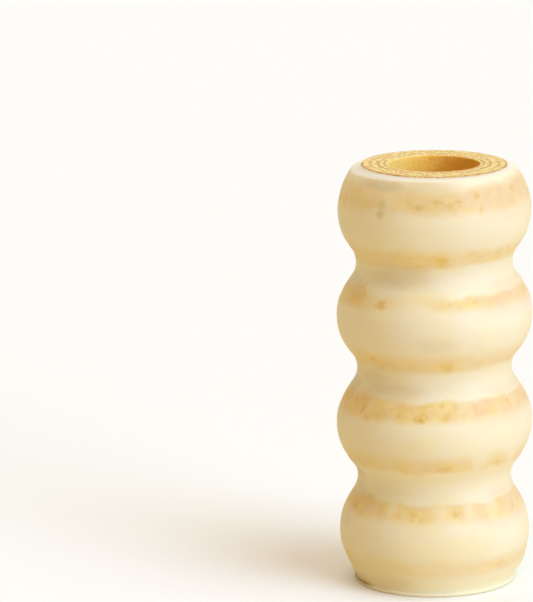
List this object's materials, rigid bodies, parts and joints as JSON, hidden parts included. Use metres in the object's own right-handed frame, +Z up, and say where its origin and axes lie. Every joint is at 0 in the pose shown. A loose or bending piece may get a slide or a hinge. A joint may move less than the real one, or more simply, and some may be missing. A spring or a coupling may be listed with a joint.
{
  "type": "baumkuchen",
  "caption": "Upright lobed baumkuchen with a round hole through its middle, coated in white chocolate, its flat cut top showing the rings of the cake.",
  "frame": {"origin": "centre of the base, on the surface the cake stands on", "axes": "+Z up the axis of the hole, towards the cut; the picture looks along +Y with +X to its right"},
  "size_m": [0.0698, 0.0699, 0.1513],
  "materials": {
    "crumb": "matt, fine open crumb",
    "crust_crumb": "matt, fine open crumb with a browned edge",
    "white_chocolate": "satin, smooth set chocolate"
  },
  "bodies": {
    "root": {"cake_ring_1": "crumb", "cake_ring_2": "crumb", "cake_ring_3": "crumb", "cake_ring_4": "crust_crumb", "chocolate_coat": "white_chocolate"}
  },
  "joints": []
}
